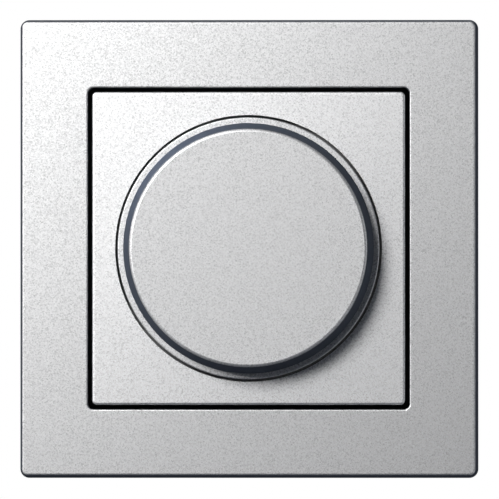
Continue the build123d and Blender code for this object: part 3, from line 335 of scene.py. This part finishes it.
# Choke: a ferrite ring on the back of the board, wound with fifteen turns of thick lacquered copper wire.
# Each turn hugs the ring's section, and the wire's two ends go down into the board.
dress(coat("ferrite", skin, {
    "Resin": (0.05, 0.05, 0.055, 1), "Cloud": (0.03, 0.03, 0.034, 1), "Gloss": 0.6},
    depth=0.00006), "choke_core")
WIRE_R, TURNS, WOUND_ARC = 0.00055, 15, math.radians(330)
RING_BORE_R, LOOP_CORNER_R, LOOP_ROOM = 0.0039, 0.0009, 2.1 * WIRE_R
END_R, END_EDGE = 0.0004, 0.0001
low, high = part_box("choke_core")
ring_x, ring_y, ring_z = ((a + b) / 2 for a, b in zip(low, high))
ring_r, ring_depth = (high[0] - low[0]) / 2, high[1] - low[1]
bpy.ops.mesh.primitive_plane_add(size=1.0)
loop = bpy.context.object
bpy.ops.object.mode_set(mode="EDIT")
bpy.ops.transform.resize(value=(ring_r - RING_BORE_R + LOOP_ROOM, ring_depth + LOOP_ROOM, 1))
bpy.ops.transform.translate(value=((ring_r + RING_BORE_R) / 2, 0, 0))
bpy.ops.mesh.bevel(offset=LOOP_CORNER_R, segments=5, affect="VERTICES")
bpy.ops.mesh.delete(type="ONLY_FACE")
bpy.ops.object.mode_set(mode="OBJECT")
bpy.ops.object.convert(target="CURVE")
loop.data.bevel_depth = WIRE_R
loop.data.bevel_resolution = 2
bpy.ops.object.convert(target="MESH")
wound = []
for turn in range(TURNS):
    copy = twin(loop)
    copy.rotation_euler = (0, -math.pi / 2 - WOUND_ARC / 2 + WOUND_ARC * turn / (TURNS - 1), 0)
    copy.location = (ring_x, ring_y, ring_z)
    wound.append(copy)
bpy.data.objects.remove(loop)
board_reach = ring_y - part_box("choke_winding")[0][1]
for side in (-1, 1):
    wound.append(turned(END_R, board_reach, (ring_x + side * ring_r, ring_y, ring_z), -1, END_EDGE))
winding = unite("choke_turns", *wound)
cover(winding, coat("lacquered_copper", plating, {
    "Metal": (0.62, 0.25, 0.10, 1), "Film": (0.45, 0.15, 0.06, 1), "Gloss": 0.25},
    depth=0.00002, plain={"Metallic": 1.0, "Coat Weight": 0.6, "Coat Roughness": 0.1}))
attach(winding, "insert")
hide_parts("choke_winding")


# Capacitors, resistors and transistor: moulded, sleeved or lacquered bodies on tinned leads.
# The film box and the can stand on the back of the board, and the resistors lie in rows on its front.
# The transistor's tab is screwed through a silicone pad to the heat sink.
TIN = (0.74, 0.73, 0.70, 1)


def axes(tree):
    """How far along X, Y and Z a point lies."""
    return fit(tree, "ShaderNodeSeparateXYZ", {"Vector": place_on(tree)}).outputs


def feed(material, label, wire):
    """Wires a colour into a named input of a material's effect."""
    tree = material.node_tree
    group = next(node for node in tree.nodes if node.type == "GROUP")
    tree.links.new(wire, group.inputs[label])


leaded, takes, gives = effect("body_on_leads", [
    ("Resin", COLOUR, (0.5, 0.5, 0.5, 1)), ("Cloud", COLOUR, (0.4, 0.4, 0.4, 1)), ("Gloss", VALUE, 0.3),
    ("Ends", VALUE, 1.0), ("Foot", VALUE, -1.0), ("Tail", VALUE, -1.0)],
    [("Color", COLOUR), ("Roughness", VALUE), ("Metallic", VALUE), ("Height", VALUE)])
place, parts = place_on(leaded), axes(leaded)
ends = reckon(leaded, "GREATER_THAN", reckon(leaded, "ABSOLUTE", parts["X"]), takes["Ends"])
foot = reckon(leaded, "LESS_THAN", parts["Y"], takes["Foot"])
tail = reckon(leaded, "LESS_THAN", parts["Z"], takes["Tail"])
tin = reckon(leaded, "MAXIMUM", reckon(leaded, "MAXIMUM", ends, foot), tail)
pores = grain(leaded, place, scale=2400.0)
flow = grain(leaded, place, scale=160.0, detail=4.0, distortion=0.5)
body = tint(leaded, span(leaded, flow, 0.35, 0.7), takes["Resin"], takes["Cloud"])
leaded.links.new(tint(leaded, tin, body, TIN), gives["Color"])
uneven = span(leaded, pores, 0.3, 0.7, -0.05, 0.08)
leaded.links.new(reckon(leaded, "ADD", uneven, takes["Gloss"]), gives["Roughness"])
leaded.links.new(tin, gives["Metallic"])
leaded.links.new(pores, gives["Height"])
board_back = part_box("circuit_board")[1][1]
dress(coat("yellow_resin", leaded, {
    "Resin": (0.70, 0.45, 0.05, 1), "Cloud": (0.62, 0.38, 0.04, 1), "Foot": board_back},
    depth=0.00003), "film_capacitor")
dress(coat("dark_epoxy", leaded, {
    "Resin": (0.035, 0.035, 0.038, 1), "Cloud": (0.028, 0.028, 0.03, 1), "Gloss": 0.5,
    "Foot": 0.0032, "Tail": -0.00775}, depth=0.00004), "power_transistor")
dress(coat("grey_silicone", skin, {
    "Resin": (0.36, 0.36, 0.36, 1), "Cloud": (0.30, 0.30, 0.30, 1), "Gloss": 0.7},
    depth=0.00005), "transistor_pad")
dress(zinc, "transistor_screw")

STRIPE_WIDTH = 0.0009
sleeve = coat("blue_sleeve", leaded, {
    "Cloud": (0.02, 0.05, 0.18, 1), "Gloss": 0.25, "Foot": board_back}, depth=0.00002)
tree = sleeve.node_tree
stripe_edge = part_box("electrolytic_capacitor")[0][2] + STRIPE_WIDTH
stripe = reckon(tree, "LESS_THAN", axes(tree)["Z"], stripe_edge)
feed(sleeve, "Resin", tint(tree, stripe, (0.03, 0.06, 0.22, 1), (0.55, 0.58, 0.66, 1)))
dress(sleeve, "electrolytic_capacitor")

BODY_HALF = 0.00325
BEIGE, BROWN, BLACK = (0.62, 0.48, 0.29, 1), (0.10, 0.035, 0.015, 1), (0.01, 0.01, 0.01, 1)
ORANGE, GOLD = (0.62, 0.17, 0.02, 1), (0.45, 0.30, 0.08, 1)
BANDS = (
    (0.12, BROWN), (0.20, BEIGE), (0.30, BLACK), (0.38, BEIGE), (0.48, ORANGE), (0.56, BEIGE), (0.80, GOLD))
GOLD_END = 0.92
lacquer = coat("beige_lacquer", leaded, {
    "Cloud": (0.55, 0.42, 0.25, 1), "Gloss": 0.22, "Ends": BODY_HALF}, depth=0.00002)
tree = lacquer.node_tree
ramp = fit(tree, "ShaderNodeValToRGB", {"Fac": span(tree, axes(tree)["X"], -BODY_HALF, BODY_HALF)})
stops = ramp.color_ramp.elements
ramp.color_ramp.interpolation = "CONSTANT"
stops[0].color = BEIGE
stops[1].position = GOLD_END
stops[1].color = BEIGE
for start, colour in BANDS:
    stops.new(start).color = colour
feed(lacquer, "Resin", ramp.outputs["Color"])
dress(lacquer, "resistors")


# Fuse: a drawn glass tube with pressed brass caps, held by two spring clips on the front of the board.
# Inside it a fine tinned wire is coiled from cap to cap.
spring_steel = coat("spring_steel", plating, {
    "Metal": (0.52, 0.53, 0.55, 1), "Film": (0.42, 0.43, 0.46, 1), "Gloss": 0.26},
    depth=0.00002, plain=METAL)
dress(brass, "fuse_caps")
dress(spring_steel, "fuse_clips")
dress(coat("drawn_glass", skin, {
    "Resin": (0.92, 0.95, 0.95, 1), "Cloud": (0.90, 0.94, 0.94, 1), "Gloss": 0.08},
    depth=0.000002, plain={"Transmission Weight": 1.0, "IOR": 1.5}), "fuse_tube")


def coiled(wire_r, coil_r, pitch, turns):
    """A round wire wound up Z from its first turn, with both ends closed."""
    sides = 12
    bpy.ops.mesh.primitive_circle_add(vertices=sides, radius=wire_r)
    coil = bpy.context.object
    bpy.ops.object.mode_set(mode="EDIT")
    bpy.ops.transform.rotate(value=math.pi / 2, orient_axis="X", center_override=(0, 0, 0))
    bpy.ops.transform.translate(value=(coil_r, 0, 0))
    bpy.ops.object.mode_set(mode="OBJECT")
    wind(coil, "Z", pitch, turns, steps=32, sides=sides)
    return coil


FUSE_COIL_R, FUSE_WIRE_R, FUSE_COIL_PITCH = 0.0005, 0.00008, 0.0007
low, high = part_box("fuse_tube")
coil = coiled(FUSE_WIRE_R, FUSE_COIL_R, FUSE_COIL_PITCH, int((high[2] - low[2]) / FUSE_COIL_PITCH) - 1)
coil.location = ((low[0] + high[0]) / 2, (low[1] + high[1]) / 2, low[2] + FUSE_COIL_PITCH / 2)
wire = unite("fuse_wire", coil)
cover(wire, coat("tinned_wire", plating, {
    "Metal": TIN, "Film": (0.64, 0.63, 0.60, 1), "Gloss": 0.3}, depth=0.00001, plain=METAL))
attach(wire, "insert")


# Push switch: a black moulded cup on the back of the board, with a copper bridge on a coiled steel spring.
# The white plunger stands through the board under the knob's shaft.
# Wire for the spring is wound cold and open, and its turns close up when the knob is pressed.
black_resin = coat("black_resin", skin, {
    "Resin": (0.022, 0.022, 0.024, 1), "Cloud": (0.03, 0.03, 0.033, 1), "Gloss": 0.48}, depth=0.00004)
bare_copper = coat("bare_copper", plating, {
    "Metal": (0.80, 0.40, 0.22, 1), "Film": (0.62, 0.27, 0.14, 1), "Gloss": 0.3},
    depth=0.00002, plain=METAL)
dress(black_resin, "switch_case")
dress(white_resin, "switch_plunger")
dress(bare_copper, "contact_bridge", "switch_contacts")
SPRING_WIRE_R, SPRING_TURNS, PUSH_TRAVEL = 0.0003, 4, 0.0018
low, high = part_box("return_spring")
spring_length = high[1] - low[1]
spring_pitch = (spring_length - 2 * SPRING_WIRE_R) / SPRING_TURNS
coil = coiled(SPRING_WIRE_R, high[0] - SPRING_WIRE_R, spring_pitch, SPRING_TURNS)
coil.location = (0, low[1] + SPRING_WIRE_R, 0)
coil.rotation_euler = (-math.pi / 2, 0, 0)
spring = unite("return_spring_turns", coil)
cover(spring, spring_steel)
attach(spring, "insert")
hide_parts("return_spring")
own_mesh(spring)


# Potentiometer: a turned brass bush and shaft, a black case and rotor, and a track of printed carbon.
# The track is a dark ring with two bare ends on a brown laminate disc.
dress(black_resin, "pot_case", "wiper")
dress(brass, "pot_bush", "shaft")
dress(spring_steel, "shaft_clip")
TRACK_INNER_R, TRACK_OUTER_R, TRACK_END_Z = 0.0051, 0.0071, -0.0046
laminate = coat("brown_laminate", skin, {"Cloud": (0.12, 0.065, 0.03, 1), "Gloss": 0.4}, depth=0.00003)
tree = laminate.node_tree
flat = fit(tree, "ShaderNodeVectorMath", {0: place_on(tree), 1: (1, 0, 1)}, operation="MULTIPLY")
radius = fit(tree, "ShaderNodeVectorMath", {0: flat.outputs["Vector"]}, operation="LENGTH").outputs["Value"]
outside = reckon(tree, "GREATER_THAN", radius, TRACK_INNER_R)
inside = reckon(tree, "LESS_THAN", radius, TRACK_OUTER_R)
above = reckon(tree, "GREATER_THAN", axes(tree)["Z"], TRACK_END_Z)
printed = reckon(tree, "MULTIPLY", reckon(tree, "MULTIPLY", outside, inside), above)
feed(laminate, "Resin", tint(tree, printed, (0.16, 0.09, 0.04, 1), (0.015, 0.015, 0.016, 1)))
dress(laminate, "resistance_track")


# Insert cover and heat sink: a white moulded lid, and over it a plate sheared from milled aluminium sheet.
# The sink spreads the transistor's heat to the support ring in front of it.
dress(white_resin, "insert_cover")
dress(coat("milled_aluminium", plating, {
    "Metal": (0.80, 0.81, 0.82, 1), "Film": (0.72, 0.73, 0.75, 1), "Cloud": 120.0, "Drawn": 2600.0,
    "Gloss": 0.36}, depth=0.00004, plain=METAL), "heat_sink")


# Support ring: stamped from zinc-plated steel strip, with the frame's tabs bent forward and lugs bent back.
# Two screws through it hold the whole insert, and their heads lie under the centre plate.
dress(zinc, "support_ring", "housing_screws")


# Claws: pressed steel channels that hinge on riveted pins and grip the wall box.
# A long rolled screw with a cross recess draws the square nut forward between the claw's flanges.
CLAW_HEAD_END, CLAW_HEAD_FOOT, CLAW_TIP = -0.0028, -0.0010, 0.0205
CLAW_HEAD_EDGE, CROSS_LONG, CROSS_WIDE, CROSS_DEEP = 0.0005, 0.0032, 0.0008, 0.0020
pattern = rolled_screw(
    CLAW_HEAD_END, CLAW_HEAD_FOOT, CLAW_TIP, CLAW_HEAD_EDGE,
    [(CROSS_LONG, CROSS_DEEP, CROSS_WIDE), (CROSS_WIDE, CROSS_DEEP, CROSS_LONG)],
    threaded=CLAW_TIP - CLAW_HEAD_FOOT - TIP_EDGE)
for side in ("left", "right"):
    node = f"claw_screw_{side}"
    screw = set_out(pattern, f"claw_screw_thread_{side}", node)
    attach(screw, node)
    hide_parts(node)
    dress(zinc, f"claw_{side}", f"claw_pin_{side}", f"claw_nut_{side}")
bpy.data.objects.remove(pattern)


# Cover frame: a drafted hollow moulding of dark resin, sprayed from the front with aluminium-flake paint.
# The flakes lie flat in the lacquer, so each face shines towards the light and goes darker when it turns
# away; the bluish grey it takes at glancing angles is partly painted shade and reflection.
# Paint runs over the outer flanks and a little way into the opening; ledge, ribs and back stay bare, in a
# near-black resin that is partly painted shade in the gaps and recesses.
flakes, takes, gives = effect("flake_paint", [
    ("Paint", COLOUR, (0.7, 0.7, 0.7, 1)), ("Shade", COLOUR, (0.6, 0.6, 0.6, 1)),
    ("Bare Resin And Shade", COLOUR, (0.02, 0.02, 0.02, 1)), ("Flakes", VALUE, 5000.0), ("Gloss", VALUE, 0.48),
    ("Skin", VALUE, 1.0), ("Fade", VALUE, 0.0001), ("Flank", VALUE, 1.0), ("Draft", VALUE, 0.0),
    ("Hole", VALUE, 0.0), ("Hole End", VALUE, 0.0)],
    [("Color", COLOUR), ("Roughness", VALUE), ("Metallic", VALUE), ("Height", VALUE)])
place, parts = place_on(flakes), axes(flakes)
sideways, upward = (reckon(flakes, "ABSOLUTE", parts[axis]) for axis in ("X", "Z"))
square = reckon(flakes, "MAXIMUM", sideways, upward)
upright = reckon(flakes, "SUBTRACT", square, reckon(flakes, "MULTIPLY", parts["Y"], takes["Draft"]))
skin_end = reckon(flakes, "ADD", takes["Skin"], takes["Fade"])
front = span(flakes, parts["Y"], takes["Skin"], skin_end, 1.0, 0.0)
flank = reckon(flakes, "GREATER_THAN", upright, takes["Flank"])
hole = reckon(flakes, "MULTIPLY", reckon(flakes, "LESS_THAN", square, takes["Hole"]),
              reckon(flakes, "LESS_THAN", parts["Y"], takes["Hole End"]))
painted = reckon(flakes, "MAXIMUM", reckon(flakes, "MAXIMUM", front, flank), hole)
chip = fit(flakes, "ShaderNodeTexVoronoi", {"Vector": place, "Scale": takes["Flakes"]}).outputs["Color"]
chip = fit(flakes, "ShaderNodeSeparateColor", {"Color": chip}).outputs["Red"]
clump = grain(flakes, place, scale=4200.0, detail=1.0)
share = reckon(flakes, "MULTIPLY", chip, span(flakes, clump, 0.2, 0.6))
silver = tint(flakes, share, takes["Paint"], takes["Shade"])
# Unsprayed places get the near-black resin colour, which in the gaps and recesses is painted shade.
flakes.links.new(tint(flakes, painted, takes["Bare Resin And Shade"], silver), gives["Color"])
uneven = span(flakes, chip, 0.0, 1.0, -0.05, 0.05)
flakes.links.new(reckon(flakes, "ADD", uneven, takes["Gloss"]), gives["Roughness"])
flakes.links.new(painted, gives["Metallic"])
flakes.links.new(clump, gives["Height"])
PAINT, PAINT_SHADE, PAINT_RELIEF = (0.86, 0.86, 0.86, 1), (0.47, 0.47, 0.47, 1), 0.000004
EDGE_DARK = {"Specular Tint": (0.05, 0.06, 0.08, 1)}
# At glancing angles the paint is tinted to a bluish grey: part real darkening of flake paint, part painted
# shade and reflection.
GLANCING_SHADE_START, GLANCING_SHADE_END, PAINTED_GLANCING_SHADE = 0.55, 0.80, (0.24, 0.265, 0.31, 1)


def flop_and_painted_shade(material):
    """Darkens a flake paint to a bluish grey where it is seen at a glancing angle, partly as its real
    darkening and partly as painted shade and reflection.
    """
    tree = material.node_tree
    base = tree.nodes["Principled BSDF"].inputs["Base Color"]
    facing = fit(tree, "ShaderNodeLayerWeight", {"Blend": 0.5}).outputs["Facing"]
    glancing_shade = span(tree, facing, GLANCING_SHADE_START, GLANCING_SHADE_END)
    tree.links.new(tint(tree, glancing_shade, base.links[0].from_socket, PAINTED_GLANCING_SHADE), base)
    return material


dress(flop_and_painted_shade(coat("frame_paint", flakes, {
    "Paint": PAINT, "Shade": PAINT_SHADE, "Skin": -0.0078, "Flank": 0.0397, "Draft": 0.07,
    "Hole": 0.0284, "Hole End": -0.0085}, PAINT_RELIEF, EDGE_DARK)), "cover_frame")


# Centre plate: a skirted square of the same resin, sprayed a shade lighter, clamped by the lock nut.
# Its skirt ends just above the frame's ledge, so the joint between them is a deep dark groove.
# Its paint fades out down the recess under the knob, so the near-black resin there paints shade into the gap
# around the rim.
dress(flop_and_painted_shade(coat("plate_paint", flakes, {
    "Paint": (0.98, 0.98, 0.98, 1), "Shade": (0.56, 0.56, 0.56, 1), "Skin": -0.0090,
    "Fade": 0.0013}, PAINT_RELIEF, EDGE_DARK)), "centre_plate")


# Lock nut and toothed washer: a hexagon turned from brass bar, and a ring stamped from spring steel.
# They clamp the centre plate on the threaded bush, out of sight inside the collar.
dress(brass, "lock_nut")
dress(spring_steel, "lock_washer")


# Knob: a dished cap above a ledge, moulded and sprayed like the frame, pushed on the flat of the shaft.
# A spring ring in a groove of its split hub grips the shaft.
dress(flop_and_painted_shade(coat("knob_paint", flakes, {
    "Paint": PAINT, "Shade": PAINT_SHADE}, PAINT_RELIEF, EDGE_DARK)), "knob")
dress(spring_steel, "hub_ring")


# Floor: a plain pale sheet of matt paper that takes the object's shadow.
# It fades into the white backdrop a little way off, and lets a view from below through.
FLOOR_Z, FADE_START, FADE_END, WHITE = -0.062, 0.15, 0.5, (1, 1, 1, 1)
bpy.ops.mesh.primitive_plane_add(size=6.0, location=(0, 0, FLOOR_Z))
floor = bpy.context.object
floor.name = "floor"
floor.visible_glossy = False
paper = bpy.data.materials.new("pale_floor")
paper.use_nodes = True
tree = paper.node_tree
sheet = tree.nodes["Principled BSDF"]
sheet.inputs["Base Color"].default_value = (0.85, 0.85, 0.85, 1)
sheet.inputs["Roughness"].default_value = 0.9
glow = fit(tree, "ShaderNodeEmission", {"Color": WHITE, "Strength": 1.0})
path = fit(tree, "ShaderNodeLightPath").outputs
away = fit(tree, "ShaderNodeVectorMath", {0: place_on(tree)}, operation="LENGTH").outputs["Value"]
faded = reckon(tree, "MULTIPLY", path["Is Camera Ray"], span(tree, away, FADE_START, FADE_END))
mixed = fit(tree, "ShaderNodeMixShader", {0: faded, 1: sheet.outputs[0], 2: glow.outputs[0]})
underside = fit(tree, "ShaderNodeNewGeometry").outputs["Backfacing"]
below = reckon(tree, "MULTIPLY", path["Is Camera Ray"], underside)
clear = fit(tree, "ShaderNodeBsdfTransparent")
mixed = fit(tree, "ShaderNodeMixShader", {0: below, 1: mixed.outputs[0], 2: clear.outputs[0]})
tree.links.new(mixed.outputs[0], tree.nodes["Material Output"].inputs["Surface"])
floor.data.materials.append(paper)


# Light: one soft lamp up to the left of the knob, in a studio with dark walls and a white backdrop.
# Pale screens at the upper left and low at both sides, and a grey one behind, are what the paint mirrors.
# Weak lamps from the sides, from above and from behind show the flanks and the insert.
scene = bpy.context.scene
scene.view_settings.view_transform = "Standard"
world = bpy.data.worlds.new("studio")
scene.world = world
world.use_nodes = True
tree = world.node_tree
round_about = fit(tree, "ShaderNodeTexCoord").outputs["Generated"]
way = fit(tree, "ShaderNodeSeparateXYZ", {"Vector": round_about}).outputs


def belt(rise, fall):
    """A belt of the surroundings along Y, with the two places where each of its sides fades."""
    return reckon(tree, "MULTIPLY", span(tree, way["Y"], *rise), span(tree, way["Y"], *fall, 1.0, 0.0))


slant = reckon(tree, "SUBTRACT", way["Z"], way["X"])
walls = tint(tree, span(tree, slant, -1.0, 1.2), (0.006, 0.009, 0.016, 1), (0.02, 0.023, 0.03, 1))
level = span(tree, way["Y"], -0.45, -0.25)
dim = tint(tree, level, (0.03, 0.04, 0.06, 1), (0.25, 0.26, 0.29, 1))
pale = tint(tree, level, (0.95, 0.95, 0.95, 1), (0.50, 0.51, 0.54, 1))
screens = tint(tree, span(tree, slant, 0.0, 0.9), dim, pale)
walls = tint(tree, belt((-0.80, -0.60), (-0.15, 0.15)), walls, screens)
walls = tint(tree, belt((0.30, 0.45), (0.75, 0.90)), walls, (0.28, 0.29, 0.31, 1))
for side, colour in ((0.78, (0.60, 0.61, 0.63, 1)), (-0.78, (0.70, 0.71, 0.73, 1))):
    low_screen = (side, -0.50, -0.37)
    facing = fit(tree, "ShaderNodeVectorMath", {0: round_about, 1: low_screen}, operation="DOT_PRODUCT")
    walls = tint(tree, span(tree, facing.outputs["Value"], 0.88, 0.97), walls, colour)
walls = tint(tree, span(tree, way["Y"], 0.9975, 0.9985), walls, WHITE)
path = fit(tree, "ShaderNodeLightPath").outputs
walls = tint(tree, path["Is Diffuse Ray"], walls, (0.72, 0.73, 0.75, 1))
seen = reckon(tree, "MAXIMUM", path["Is Camera Ray"], path["Is Transmission Ray"])
tree.links.new(tint(tree, seen, walls, WHITE), tree.nodes["Background"].inputs["Color"])


def lamp(name, at, aim, side, power):
    """A square soft lamp that looks at a point."""
    light = bpy.data.lights.new(name, "AREA")
    light.shape = "SQUARE"
    light.size = side
    light.energy = power
    piece = bpy.data.objects.new(name, light)
    piece.location = at
    piece.rotation_euler = (Vector(aim) - Vector(at)).to_track_quat("-Z", "Y").to_euler()
    piece.visible_camera = False
    scene.collection.objects.link(piece)


lamp("key", at=(-0.2018, -0.434, 0.1877), aim=(0, -0.01, 0), side=0.15, power=2.15)
lamp("back", at=(0, 0.42, 0.03), aim=(0, 0, 0), side=0.12, power=0.16)
lamp("left_fill", at=(-0.8, 0.02, 0.15), aim=(0, 0.01, 0), side=0.3, power=0.5)
lamp("top_fill", at=(-0.15, 0.02, 0.8), aim=(0, 0.01, 0), side=0.3, power=0.5)
lamp("right_fill", at=(0.8, 0.02, 0.1), aim=(0, 0.01, 0), side=0.3, power=0.35)


# Camera: far off with a long lens, so that the square frame stays square.
# It stands a little to the right of the knob's axis and a little below it.
camera = bpy.data.cameras.new("camera")
camera.lens = 611.7
camera.sensor_width = 36.0
camera.clip_end = 20.0
view = bpy.data.objects.new("camera", camera)
scene.collection.objects.link(view)
PLATE_FRONT = -0.0099
around, above, away = math.radians(0.8), math.radians(-0.55), 1.49
aim = Vector((0.00017, PLATE_FRONT, -0.0002))
back = Vector((math.sin(around) * math.cos(above), -math.cos(around) * math.cos(above), math.sin(above)))
view.location = aim + back * away
view.rotation_euler = (-back).to_track_quat("-Z", "Y").to_euler()
scene.camera = view
